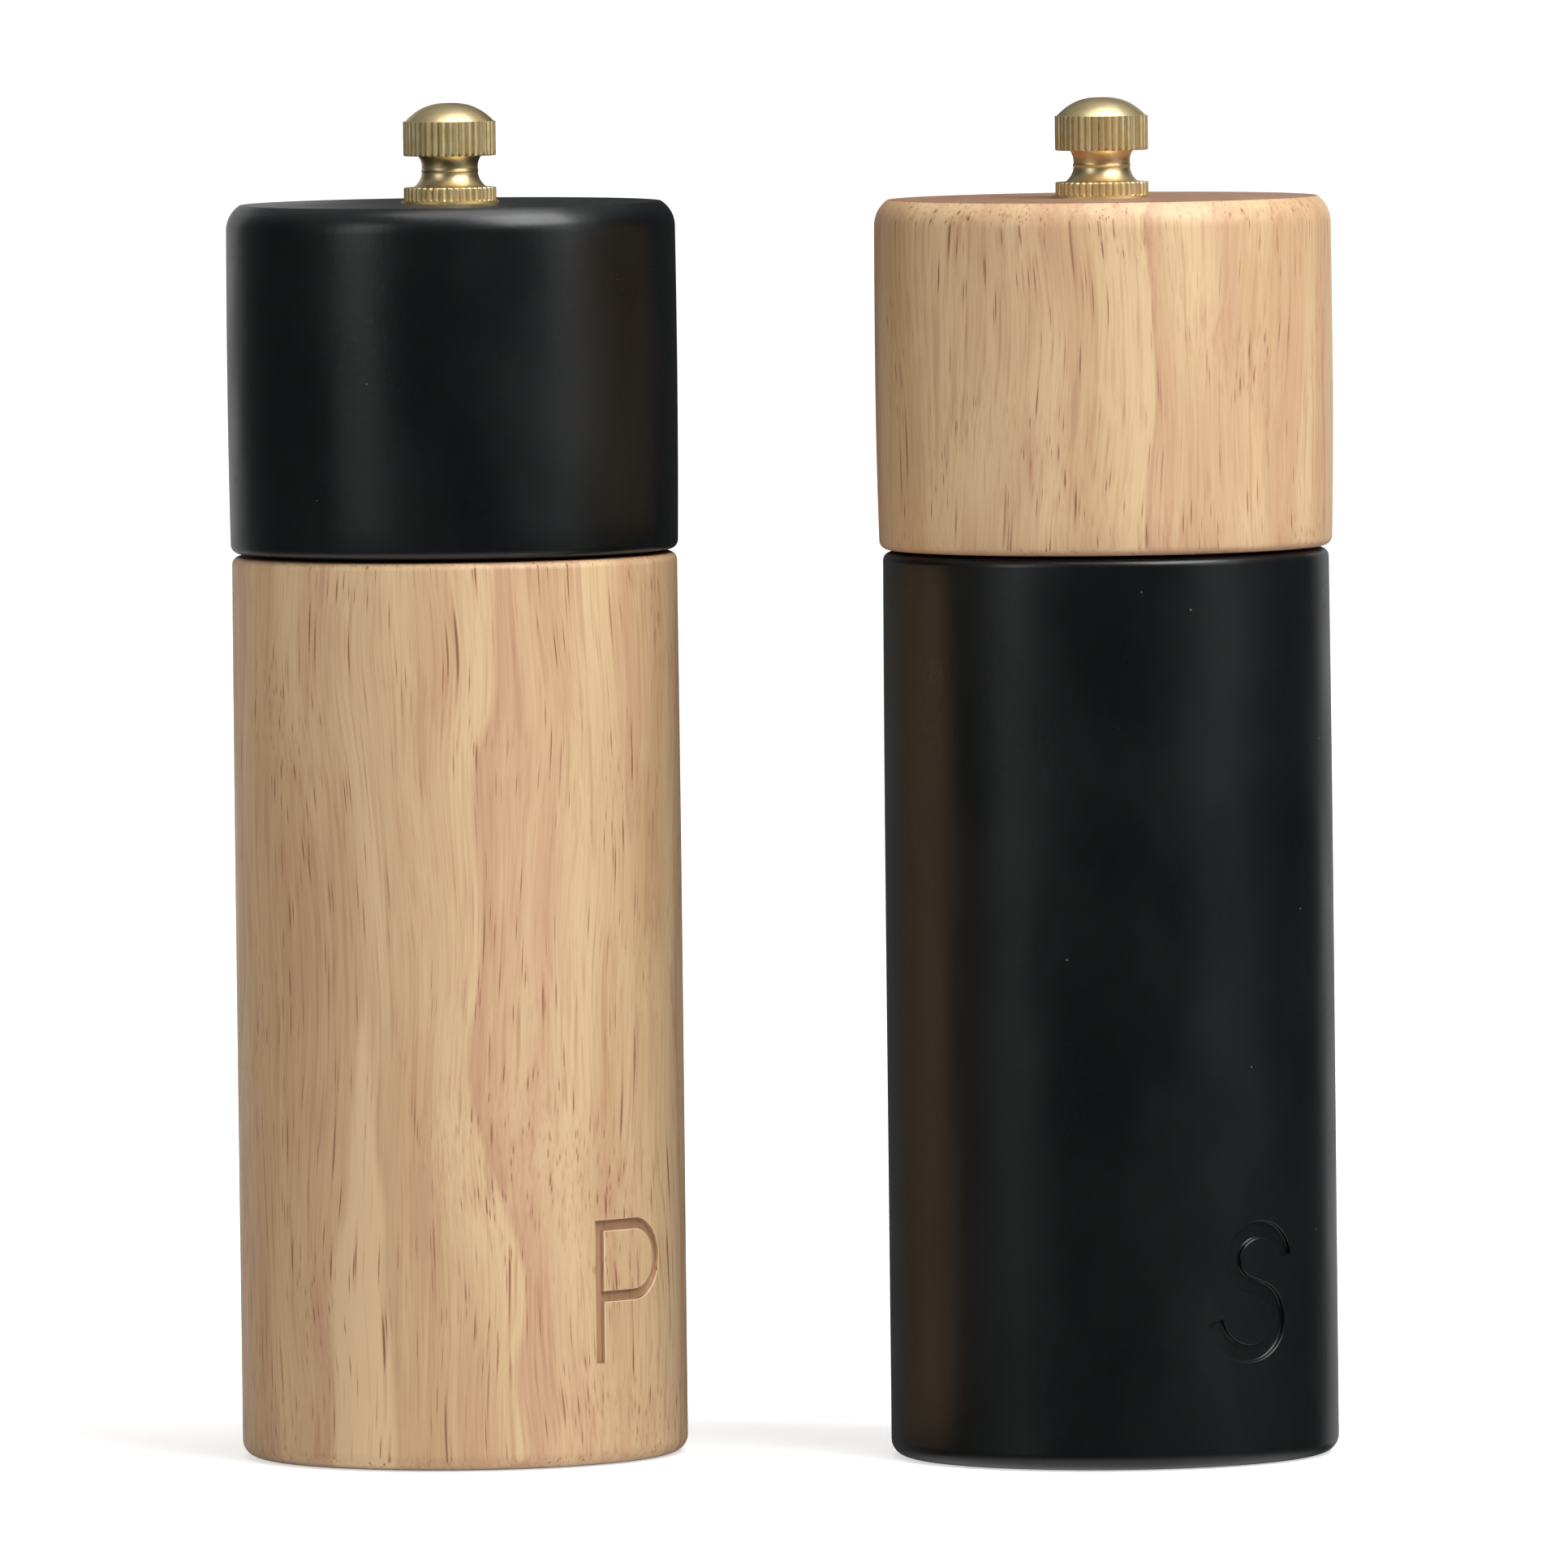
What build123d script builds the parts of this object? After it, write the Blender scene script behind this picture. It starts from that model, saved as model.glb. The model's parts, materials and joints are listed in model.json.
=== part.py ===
from build123d import *
import os

# Salt and pepper mills: two free-standing wooden twist grinders of the same build.
# Each one is a bored wooden body with a ceramic grinder screwed into its foot, a
# square drive shaft up its middle, a wooden head that turns the shaft, and a brass
# knob on the shaft's threaded end that sets how fine the mill grinds.
#
# Millimetres, +Z up. The origin is on the table, midway between the two mills.
# Every piece is drawn about its own mill's axis, then moved to the mill's place.

# ---- Driving dimensions ---------------------------------------------------------

MILL_SPACING = 80.0            # between the two axes, along X
MILL_STAGGER = 10.0            # the salt mill stands this much further forward
HEAD_DIAMETER = {"pepper": 55.4, "salt": 56.1}

BODY_DIAMETER = 55.0
BODY_HEIGHT = 111.0
BODY_TOP_FILLET = 1.0
BODY_FOOT_FILLET = 2.0
HOPPER_RADIUS = 17.5

HEAD_HEIGHT = 42.8
HEAD_TOP_FILLET = {"pepper": 2.3, "salt": 2.0}
HEAD_FOOT_FILLET = 1.1
SEAM_GAP = 0.35                # the collar stands this far proud of the body

LETTER_STROKE = {"pepper": 1.3, "salt": 2.0}
LETTER_DEPTH = 0.6
LETTER_BASE_Z = 12.6
LETTER_AZIMUTH = {"pepper": 49.3, "salt": 37.8}   # degrees round from the front

KNOB_DIAMETER = 11.4
KNOB_HEIGHT = 12.0
KNOB_TEETH = 40
KNOB_TOOTH_DEPTH = 0.28
KNOB_HOLE_DEPTH = 9.0
WASHER_RADIUS = 6.0
WASHER_THICKNESS = 0.3

SHAFT_WIDTH = 5.0              # square aluminium bar
SHAFT_EDGE_RADIUS = 0.35
STUD_RADIUS = 2.45             # the shaft's M5 end

SQUARE_CLEARANCE = 0.05        # on each side of the square bar
TURNING_CLEARANCE = 0.05       # radial, bush in bridge and knob on stud
SPIGOT_CLEARANCE = 0.10        # radial, head in collar
SCREW_CLEARANCE = 0.03         # radial, screws in the wood
THROUGH_CLEARANCE = 0.2        # radial, screws in plastic and steel, washer on stud
SCREW_SLOT_WIDTH = 0.6
PILOT_END = 0.5                # a screw's hole runs this much deeper than its point
OVERSHOOT = 1.0                # cutters run this far past what they cut

# ---- Heights that follow from them ----------------------------------------------

COLLAR_TOP_Z = BODY_HEIGHT + SEAM_GAP
HEAD_TOP_Z = COLLAR_TOP_Z + HEAD_HEIGHT
KNOB_BASE_Z = HEAD_TOP_Z + WASHER_THICKNESS
KNOB_TOP_Z = KNOB_BASE_Z + KNOB_HEIGHT

# Collar pressed into the top of the body
COLLAR_OUTER_RADIUS = 22.0
COLLAR_BORE_RADIUS = 19.0
COLLAR_DEPTH = 8.0

# Spigot under the head, and the drive plate screwed to it
SPIGOT_LENGTH = 6.5
SPIGOT_BASE_Z = COLLAR_TOP_Z - SPIGOT_LENGTH
HEAD_BORE_RADIUS = 4.2
PLATE_RADIUS = 13.0
PLATE_THICKNESS = 1.5
PLATE_BASE_Z = SPIGOT_BASE_Z - PLATE_THICKNESS
PLATE_SCREW_CIRCLE = 9.3
PLATE_SCREW_RADIUS = 1.4
PLATE_SCREW_LENGTH = 10.0

# Grinder, from the foot up
HOUSING_BASE_Z = 2.5
FLANGE_THICKNESS = 2.0
FLANGE_TOP_Z = HOUSING_BASE_Z + FLANGE_THICKNESS
FLANGE_RADIUS = 20.8
COUNTERBORE_RADIUS = 21.0
OUTLET_RADIUS = 11.3
SLEEVE_RADIUS = 13.5
SLEEVE_BORE_RADIUS = 12.0
SLEEVE_TOP_Z = 22.0
FUNNEL_TOP_Z = 28.0
HOUSING_SCREW_CIRCLE = 17.2
HOUSING_SCREW_RADIUS = 1.5
HOUSING_SCREW_LENGTH = 12.0

STATOR_TOP_Z = 13.0
STATOR_FOOT_RADIUS = 10.4
STATOR_THROAT_RADIUS = 8.4
STATOR_FLUTES = 24
GRIND_GAP = 0.25               # between rotor and stator at the finest setting
ROTOR_BASE_Z = 3.9
ROTOR_BAND_TOP_Z = 8.5
ROTOR_TOP_Z = 11.0
ROTOR_HUB_RADIUS = 5.8
ROTOR_FLUTES = 18
FLUTE_SIZE = 0.9

SPRING_RADIUS = 4.5
SPRING_WIRE = 0.9
SPRING_TURNS = 4.0
BUSH_BASE_Z = 16.0
BUSH_FLANGE_THICKNESS = 1.2
BUSH_FLANGE_RADIUS = 6.0
BUSH_RADIUS = 4.4
BUSH_TOP_Z = SLEEVE_TOP_Z + 1.0
THRUST_WASHER_THICKNESS = 0.4
BRIDGE_HUB_BASE_Z = BUSH_BASE_Z + BUSH_FLANGE_THICKNESS + THRUST_WASHER_THICKNESS
BRIDGE_HUB_RADIUS = 6.3
BRIDGE_ARMS = 3
BRIDGE_ARM_WIDTH = 2.4

SHAFT_BASE_Z = 2.4
SHAFT_SHOULDER_Z = HEAD_TOP_Z - 5.0
STUD_TOP_Z = KNOB_BASE_Z + 8.0
CLIP_THICKNESS = 0.6
CLIP_TOP_Z = ROTOR_BASE_Z
CLIP_GROOVE_RADIUS = 1.9
CLIP_RADIUS = 4.4


# ---- Small helpers --------------------------------------------------------------

def cylinder(radius, low, high):
    """A cylinder on the Z axis between two heights."""
    blank = Cylinder(radius, high - low, align=(Align.CENTER, Align.CENTER, Align.MIN))
    return Pos(0, 0, low) * blank


def tube(outer, inner, low, high):
    """A ring on the Z axis, open right through."""
    return cylinder(outer, low, high) - cylinder(inner, low - OVERSHOOT, high + OVERSHOOT)


def square_bar(width, low, high):
    """A square bar on the Z axis with slightly rounded edges."""
    outline = RectangleRounded(width, width, SHAFT_EDGE_RADIUS)
    return Pos(0, 0, low) * extrude(outline, high - low)


def square_hole(low, high):
    """The cutter for a hole that slides on the drive shaft."""
    return square_bar(SHAFT_WIDTH + 2 * SQUARE_CLEARANCE, low, high)


def turned(*path):
    """Revolve a closed outline of lines and arcs in the XZ plane about Z."""
    return revolve(make_face(Wire(path)), Axis.Z)


def lathe(points):
    """Revolve a polygon of (radius, height) points about Z."""
    corners = [(radius, 0, height) for radius, height in points]
    return revolve(make_face(Polyline(*corners, close=True)), Axis.Z)


def round_edges(solid, radius, height, outer_radius):
    """Fillet the circular edges at one height and radius."""
    def on_rim(edge):
        same_height = abs(edge.center().Z - height) < 0.01
        return same_height and edge.geom_type == GeomType.CIRCLE and abs(edge.radius - outer_radius) < 0.01
    return fillet(solid.edges().filter_by(on_rim), radius)


def screw(shank_radius, length, head_radius, head_height):
    """A pan-head wood screw: the head's bearing face at z = 0, the shank up +Z."""
    head = cylinder(head_radius, -head_height, 0)
    head = round_edges(head, head_height * 0.5, -head_height, head_radius)
    point_height = 2 * shank_radius
    shank = cylinder(shank_radius, 0, length - point_height)
    point = Pos(0, 0, length - point_height) * Cone(
        shank_radius, 0.3, point_height, align=(Align.CENTER, Align.CENTER, Align.MIN))
    slot = Pos(0, 0, -head_height) * Box(head_radius * 1.1, SCREW_SLOT_WIDTH, head_height)
    return head + shank + point - slot - Rot(0, 0, 90) * slot


def opposed_pair(piece, circle_radius):
    """Two copies of a piece, on opposite sides of the axis, along X."""
    copies = [Pos(side * circle_radius, 0, 0) * piece for side in (-1, 1)]
    return Compound(children=copies)


# ---- Letters cut into the bodies ------------------------------------------------

def letter_p():
    """Outline of a plain P, its foot at y = 0 and its middle at x = 0."""
    stroke = LETTER_STROKE["pepper"]
    height = 17.5
    half_width = 5.15
    bowl_radius = 4.35
    top = height - stroke / 2
    middle = top - 2 * bowl_radius
    turn = half_width - bowl_radius
    stem = Pos(-half_width, height / 2) * Rectangle(stroke, height)
    bowl = Wire([
        Line((-half_width, top), (turn, top)),
        ThreePointArc((turn, top), (half_width, top - bowl_radius), (turn, middle)),
        Line((turn, middle), (-half_width, middle)),
    ])
    return stem + trace(bowl, stroke)


def letter_s():
    """Outline of a plain S, its foot at y = 0 and its middle at x = 0."""
    upper_tip = (5.3, 12.8)
    runs = [(4.0, 35), (4.5, 85), (3.3, 120), (None, 2.6), (3.7, -120), (5.1, -85), (5.0, -35)]
    path = []
    place, heading = Vector(*upper_tip), Vector(1, 0).rotate(Axis.Z, 100)
    for radius, amount in runs:
        if radius is None:
            run = Line(place, place + heading * amount)
        else:
            run = JernArc(place, heading, radius, amount)
        path.append(run)
        place, heading = run @ 1, run % 1
    return trace(Wire(path), LETTER_STROKE["salt"])


def letter_cutter(mill):
    """The letter pressed through a thin skin round the body, as a router cuts it."""
    radius = BODY_DIAMETER / 2
    outline = {"pepper": letter_p, "salt": letter_s}[mill]()
    block = extrude(Plane.XZ * outline, radius + OVERSHOOT)
    block = Pos(0, 0, LETTER_BASE_Z) * Rot(0, 0, LETTER_AZIMUTH[mill]) * block
    skin = tube(radius + OVERSHOOT, radius - LETTER_DEPTH, 0, BODY_HEIGHT)
    return block & skin


# ---- Wooden pieces --------------------------------------------------------------

def body(mill):
    """Bored wooden body: collar seat, hopper, funnel, grinder bore and foot recess."""
    radius = BODY_DIAMETER / 2
    blank = cylinder(radius, 0, BODY_HEIGHT)
    blank = round_edges(blank, BODY_TOP_FILLET, BODY_HEIGHT, radius)
    blank = round_edges(blank, BODY_FOOT_FILLET, 0, radius)
    bore = lathe([
        (0, -OVERSHOOT), (COUNTERBORE_RADIUS, -OVERSHOOT), (COUNTERBORE_RADIUS, FLANGE_TOP_Z),
        (SLEEVE_RADIUS, FLANGE_TOP_Z), (SLEEVE_RADIUS, SLEEVE_TOP_Z), (HOPPER_RADIUS, FUNNEL_TOP_Z),
        (HOPPER_RADIUS, BODY_HEIGHT - COLLAR_DEPTH), (COLLAR_OUTER_RADIUS, BODY_HEIGHT - COLLAR_DEPTH),
        (COLLAR_OUTER_RADIUS, BODY_HEIGHT + OVERSHOOT), (0, BODY_HEIGHT + OVERSHOOT),
    ])
    hole_radius = HOUSING_SCREW_RADIUS + SCREW_CLEARANCE
    screw_hole = cylinder(hole_radius, 0, HOUSING_BASE_Z + HOUSING_SCREW_LENGTH + PILOT_END)
    return blank - bore - opposed_pair(screw_hole, HOUSING_SCREW_CIRCLE) - letter_cutter(mill)


def head(mill):
    """Wooden head: the outside, its spigot, the shaft bore and two screw holes."""
    radius = HEAD_DIAMETER[mill] / 2
    outside = cylinder(radius, COLLAR_TOP_Z, HEAD_TOP_Z)
    outside = round_edges(outside, HEAD_TOP_FILLET[mill], HEAD_TOP_Z, radius)
    outside = round_edges(outside, HEAD_FOOT_FILLET, COLLAR_TOP_Z, radius)
    spigot = cylinder(COLLAR_BORE_RADIUS - SPIGOT_CLEARANCE, SPIGOT_BASE_Z, COLLAR_TOP_Z + OVERSHOOT)
    bore = cylinder(HEAD_BORE_RADIUS, SPIGOT_BASE_Z - OVERSHOOT, HEAD_TOP_Z + OVERSHOOT)
    hole_radius = PLATE_SCREW_RADIUS + SCREW_CLEARANCE
    hole_end = PLATE_BASE_Z + PLATE_SCREW_LENGTH + PILOT_END
    screw_hole = cylinder(hole_radius, SPIGOT_BASE_Z - OVERSHOOT, hole_end)
    return outside + spigot - bore - opposed_pair(screw_hole, PLATE_SCREW_CIRCLE)


# ---- Pieces that the head carries -----------------------------------------------

def drive_plate():
    """Steel disc with the square hole through which the head turns the shaft."""
    disc = cylinder(PLATE_RADIUS, PLATE_BASE_Z, SPIGOT_BASE_Z)
    hole = cylinder(PLATE_SCREW_RADIUS + THROUGH_CLEARANCE, 0, HEAD_TOP_Z)
    return disc - square_hole(0, HEAD_TOP_Z) - opposed_pair(hole, PLATE_SCREW_CIRCLE)


def drive_plate_screws():
    """Two screws that hold the drive plate up against the spigot."""
    one = screw(PLATE_SCREW_RADIUS, PLATE_SCREW_LENGTH, head_radius=2.6, head_height=1.5)
    return Pos(0, 0, PLATE_BASE_Z) * opposed_pair(one, PLATE_SCREW_CIRCLE)


def knob_washer():
    """Thin brass washer between the knob and the wood."""
    return tube(WASHER_RADIUS, STUD_RADIUS + THROUGH_CLEARANCE, HEAD_TOP_Z, KNOB_BASE_Z)


def knob():
    """Brass knob: two knurled bands, a waisted neck, a domed top and a blind M5 hole."""
    rim = KNOB_DIAMETER / 2 + 0.5          # the knurl trims this back
    bevel, face_radius = 0.5, 5.2
    flange_top, neck_top, band_top = 1.65, 5.5, 9.75
    neck_radius, waist_radius, waist_height, shoulder_radius = 4.5, 3.45, 3.9, 3.85
    dome_radius, dome_edge = 8.5, 5.3
    dome = [(r, 0, KNOB_HEIGHT - dome_radius + (dome_radius ** 2 - r ** 2) ** 0.5)
            for r in (dome_edge, dome_edge / 2, 0)]
    outline = turned(
        Line((0, 0, 0), (face_radius, 0, 0)),
        Line((face_radius, 0, 0), (rim, 0, bevel)),
        Line((rim, 0, bevel), (rim, 0, flange_top - bevel)),
        Line((rim, 0, flange_top - bevel), (face_radius, 0, flange_top)),
        Line((face_radius, 0, flange_top), (neck_radius, 0, flange_top)),
        ThreePointArc(
            (neck_radius, 0, flange_top), (waist_radius, 0, waist_height), (shoulder_radius, 0, neck_top)),
        Line((shoulder_radius, 0, neck_top), (face_radius, 0, neck_top)),
        Line((face_radius, 0, neck_top), (rim, 0, neck_top + bevel)),
        Line((rim, 0, neck_top + bevel), (rim, 0, band_top - bevel)),
        Line((rim, 0, band_top - bevel), dome[0]),
        ThreePointArc(*dome),
        Line((0, 0, KNOB_HEIGHT), (0, 0, 0)),
    )
    threaded_hole = cylinder(STUD_RADIUS + TURNING_CLEARANCE, -OVERSHOOT, KNOB_HOLE_DEPTH)
    return Pos(0, 0, KNOB_BASE_Z) * ((outline & knurl()) - threaded_hole)


def knurl():
    """A straight knurl: a toothed prism that trims the knob's two bands."""
    tips = PolarLocations(KNOB_DIAMETER / 2, KNOB_TEETH)
    roots = PolarLocations(KNOB_DIAMETER / 2 - KNOB_TOOTH_DEPTH, KNOB_TEETH, start_angle=180 / KNOB_TEETH)
    corners = [spot.position for pair in zip(tips, roots) for spot in pair]
    prism = extrude(make_face(Polyline(*corners, close=True)), KNOB_HEIGHT + 2 * OVERSHOOT)
    return Pos(0, 0, -OVERSHOOT) * prism


# ---- Fixed pieces in the body ---------------------------------------------------

def body_collar():
    """Black plastic ring in which the head's spigot turns; it makes the seam."""
    return tube(COLLAR_OUTER_RADIUS, COLLAR_BORE_RADIUS, BODY_HEIGHT - COLLAR_DEPTH, COLLAR_TOP_Z)


def grinder_housing():
    """Plastic cup that holds the grinder, with a flange for its two screws."""
    flange = cylinder(FLANGE_RADIUS, HOUSING_BASE_Z, FLANGE_TOP_Z)
    sleeve = cylinder(SLEEVE_RADIUS, HOUSING_BASE_Z, SLEEVE_TOP_Z)
    outlet = cylinder(OUTLET_RADIUS, 0, SLEEVE_TOP_Z + OVERSHOOT)
    seat = cylinder(SLEEVE_BORE_RADIUS, FLANGE_TOP_Z, SLEEVE_TOP_Z + OVERSHOOT)
    hole = cylinder(HOUSING_SCREW_RADIUS + THROUGH_CLEARANCE, 0, SLEEVE_TOP_Z)
    return flange + sleeve - outlet - seat - opposed_pair(hole, HOUSING_SCREW_CIRCLE)


def housing_screws():
    """Two screws that hold the housing up in the foot of the body."""
    one = screw(HOUSING_SCREW_RADIUS, HOUSING_SCREW_LENGTH, head_radius=2.8, head_height=1.6)
    return Pos(0, 0, HOUSING_BASE_Z) * opposed_pair(one, HOUSING_SCREW_CIRCLE)


def stator_radius(height):
    """Radius of the stator's conical bore at one height."""
    share = (height - FLANGE_TOP_Z) / (STATOR_TOP_Z - FLANGE_TOP_Z)
    return STATOR_FOOT_RADIUS + share * (STATOR_THROAT_RADIUS - STATOR_FOOT_RADIUS)


def flute_cutters(count, low, high, low_radius, high_radius):
    """Square bars laid along a cone, on edge, to cut its V-shaped flutes."""
    start = Vector(low_radius, 0, low)
    end = Vector(high_radius, 0, high)
    along = Plane(origin=start, x_dir=(0, 1, 0), z_dir=end - start)
    bar = extrude(along * (Rot(0, 0, 45) * Rectangle(FLUTE_SIZE, FLUTE_SIZE)), (end - start).length)
    return [Rot(0, 0, 360 * number / count) * bar for number in range(count)]


def stator():
    """Outer ceramic ring, with a fluted conical bore that widens downwards."""
    ring = cylinder(SLEEVE_BORE_RADIUS, FLANGE_TOP_Z, STATOR_TOP_Z)
    bore = lathe([
        (0, FLANGE_TOP_Z), (STATOR_FOOT_RADIUS, FLANGE_TOP_Z),
        (STATOR_THROAT_RADIUS, STATOR_TOP_Z), (0, STATOR_TOP_Z),
    ])
    low, high = FLANGE_TOP_Z - OVERSHOOT, STATOR_TOP_Z + OVERSHOOT
    return ring - bore - flute_cutters(STATOR_FLUTES, low, high, stator_radius(low), stator_radius(high))


def bridge():
    """Three-armed plastic bridge that clamps the stator and centres the shaft bush."""
    rim = tube(SLEEVE_BORE_RADIUS, OUTLET_RADIUS, STATOR_TOP_Z, SLEEVE_TOP_Z)
    hub = cylinder(BRIDGE_HUB_RADIUS, BRIDGE_HUB_BASE_Z, SLEEVE_TOP_Z)
    depth = SLEEVE_TOP_Z - BRIDGE_HUB_BASE_Z
    reach = (OUTLET_RADIUS + SLEEVE_BORE_RADIUS) / 2
    arm = Pos(0, 0, BRIDGE_HUB_BASE_Z) * Box(
        reach, BRIDGE_ARM_WIDTH, depth, align=(Align.MIN, Align.CENTER, Align.MIN))
    for number in range(BRIDGE_ARMS):
        hub += Rot(0, 0, 360 * number / BRIDGE_ARMS) * arm
    return rim + hub - cylinder(BUSH_RADIUS + TURNING_CLEARANCE, 0, SLEEVE_TOP_Z + OVERSHOOT)


def thrust_washer():
    """Steel washer between the bridge's hub and the turning bush."""
    top = BRIDGE_HUB_BASE_Z
    return tube(BRIDGE_HUB_RADIUS, BUSH_RADIUS + TURNING_CLEARANCE, top - THRUST_WASHER_THICKNESS, top)


# ---- Turning pieces in the body -------------------------------------------------

def shaft_bush():
    """White plastic bush: round in the bridge, square on the shaft, spring seat below."""
    flange = cylinder(BUSH_FLANGE_RADIUS, BUSH_BASE_Z, BUSH_BASE_Z + BUSH_FLANGE_THICKNESS)
    sleeve = cylinder(BUSH_RADIUS, BUSH_BASE_Z, BUSH_TOP_Z)
    return flange + sleeve - square_hole(0, BUSH_TOP_Z + OVERSHOOT)


def drive_shaft():
    """Square bar with a clip groove at its foot and a round threaded end."""
    bar = square_bar(SHAFT_WIDTH, SHAFT_BASE_Z, SHAFT_SHOULDER_Z)
    stud = cylinder(STUD_RADIUS, SHAFT_SHOULDER_Z, STUD_TOP_Z)
    stud = chamfer(stud.edges().group_by(Axis.Z)[-1], length=0.5)
    groove = tube(SHAFT_WIDTH, CLIP_GROOVE_RADIUS, CLIP_TOP_Z - CLIP_THICKNESS, CLIP_TOP_Z)
    return bar + stud - groove


def rotor():
    """Inner ceramic cone that breaks the peppercorns or salt against the stator."""
    lower_rim = stator_radius(FLANGE_TOP_Z) - GRIND_GAP
    cone = lathe([
        (0, ROTOR_BASE_Z), (lower_rim, ROTOR_BASE_Z), (lower_rim, FLANGE_TOP_Z),
        (stator_radius(ROTOR_BAND_TOP_Z) - GRIND_GAP, ROTOR_BAND_TOP_Z),
        (ROTOR_HUB_RADIUS, ROTOR_TOP_Z), (0, ROTOR_TOP_Z),
    ])
    low, high = ROTOR_BASE_Z - OVERSHOOT, ROTOR_BAND_TOP_Z + OVERSHOOT
    flutes = flute_cutters(
        ROTOR_FLUTES, low, high, stator_radius(low) - GRIND_GAP, stator_radius(high) - GRIND_GAP)
    return cone - flutes - square_bar(SHAFT_WIDTH, 0, ROTOR_TOP_Z + OVERSHOOT)


def rotor_clip():
    """Spring-steel clip in the shaft's groove that carries the rotor."""
    low = CLIP_TOP_Z - CLIP_THICKNESS
    ring = tube(CLIP_RADIUS, CLIP_GROOVE_RADIUS, low, CLIP_TOP_Z)
    mouth = Pos(0, 0, low) * Box(
        CLIP_RADIUS * 2,
        2 * CLIP_GROOVE_RADIUS,
        CLIP_THICKNESS * 3,
        align=(Align.MIN, Align.CENTER, Align.CENTER),
    )
    return ring - mouth


def spring():
    """Compression spring that keeps the rotor down, seated on it and on the bush."""
    seat_gap = 0.02
    low = ROTOR_TOP_Z + SPRING_WIRE / 2 + seat_gap
    rise = BUSH_BASE_Z - ROTOR_TOP_Z - SPRING_WIRE - 2 * seat_gap
    path = Pos(0, 0, low) * Helix(rise / SPRING_TURNS, rise, SPRING_RADIUS)
    wire_section = Plane(origin=path @ 0, z_dir=path % 0) * Circle(SPRING_WIRE / 2)
    return sweep(wire_section, path, is_frenet=True)


# ---- Assembly -------------------------------------------------------------------

def mill_pieces(mill):
    """Every piece of one mill, about its own axis."""
    return {
        "body": body(mill),
        "head": head(mill),
        "drive_plate": drive_plate(),
        "drive_plate_screws": drive_plate_screws(),
        "knob_washer": knob_washer(),
        "knob": knob(),
        "body_collar": body_collar(),
        "grinder_housing": grinder_housing(),
        "housing_screws": housing_screws(),
        "stator": stator(),
        "bridge": bridge(),
        "thrust_washer": thrust_washer(),
        "shaft_bush": shaft_bush(),
        "drive_shaft": drive_shaft(),
        "rotor": rotor(),
        "rotor_clip": rotor_clip(),
        "spring": spring(),
    }


def mill_place(mill):
    """Where a mill's axis stands, so that the pair's box is centred on the origin."""
    side = {"pepper": -1, "salt": 1}[mill]
    centring = (HEAD_DIAMETER["salt"] - HEAD_DIAMETER["pepper"]) / 4
    return Pos(side * MILL_SPACING / 2 - centring, -side * MILL_STAGGER / 2 + centring, 0)


os.makedirs("parts", exist_ok=True)
for mill in ("pepper", "salt"):
    for name, piece in mill_pieces(mill).items():
        export_step(mill_place(mill) * piece, f"parts/{mill}_{name}.step")
    axis = mill_place(mill).position
    print(f"{mill}: axis at {axis.X:.3f}, {axis.Y:.3f} mm; top at {KNOB_TOP_Z:.2f} mm")
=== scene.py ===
import json
import math

import bmesh
import bpy
from mathutils import Matrix, Vector, noise

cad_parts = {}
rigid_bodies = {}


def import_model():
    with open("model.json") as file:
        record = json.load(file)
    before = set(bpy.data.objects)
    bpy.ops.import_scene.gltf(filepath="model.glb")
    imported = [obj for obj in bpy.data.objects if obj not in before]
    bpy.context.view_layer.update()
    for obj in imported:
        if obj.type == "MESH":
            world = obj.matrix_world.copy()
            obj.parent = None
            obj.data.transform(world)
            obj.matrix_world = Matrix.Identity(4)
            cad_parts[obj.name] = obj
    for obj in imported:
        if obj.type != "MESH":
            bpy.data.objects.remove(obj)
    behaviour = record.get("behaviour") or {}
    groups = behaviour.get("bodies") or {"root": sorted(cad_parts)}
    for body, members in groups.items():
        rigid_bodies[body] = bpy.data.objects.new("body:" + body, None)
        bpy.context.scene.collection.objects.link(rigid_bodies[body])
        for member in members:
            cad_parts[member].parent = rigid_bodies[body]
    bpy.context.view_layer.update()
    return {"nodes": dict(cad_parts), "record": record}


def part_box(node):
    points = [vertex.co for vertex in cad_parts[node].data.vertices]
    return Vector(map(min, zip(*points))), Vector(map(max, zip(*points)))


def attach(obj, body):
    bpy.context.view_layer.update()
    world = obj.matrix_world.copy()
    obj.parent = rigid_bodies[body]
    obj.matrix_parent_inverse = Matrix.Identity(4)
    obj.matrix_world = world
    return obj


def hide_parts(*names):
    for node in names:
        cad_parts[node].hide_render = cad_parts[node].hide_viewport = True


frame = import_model()

MM = 0.001
MILLS = ("pepper", "salt")
WOODEN = {"pepper": "body", "salt": "head"}      # the mill's natural piece; its other one is black
AROUND = 320                                     # columns round a turned wooden piece


# ---- Where the mills stand, from the frame --------------------------------------

def axis_of(mill):
    """The mill's axis, from the box of its knob washer."""
    low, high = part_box(f"{mill}_knob_washer")
    return Vector(((low.x + high.x) / 2, (low.y + high.y) / 2, 0))


def radius_of(node):
    """Half the width of a round node."""
    low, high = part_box(node)
    return (high.x - low.x) / 2


# ---- Mesh helpers ----------------------------------------------------------------

def new_object(name, mesh):
    """Put a mesh in the scene as a smooth-shaded object."""
    made = bpy.data.objects.new(name, mesh)
    bpy.context.scene.collection.objects.link(made)
    mesh.shade_smooth()
    mesh.set_sharp_from_angle(angle=math.radians(30))
    return made


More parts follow.
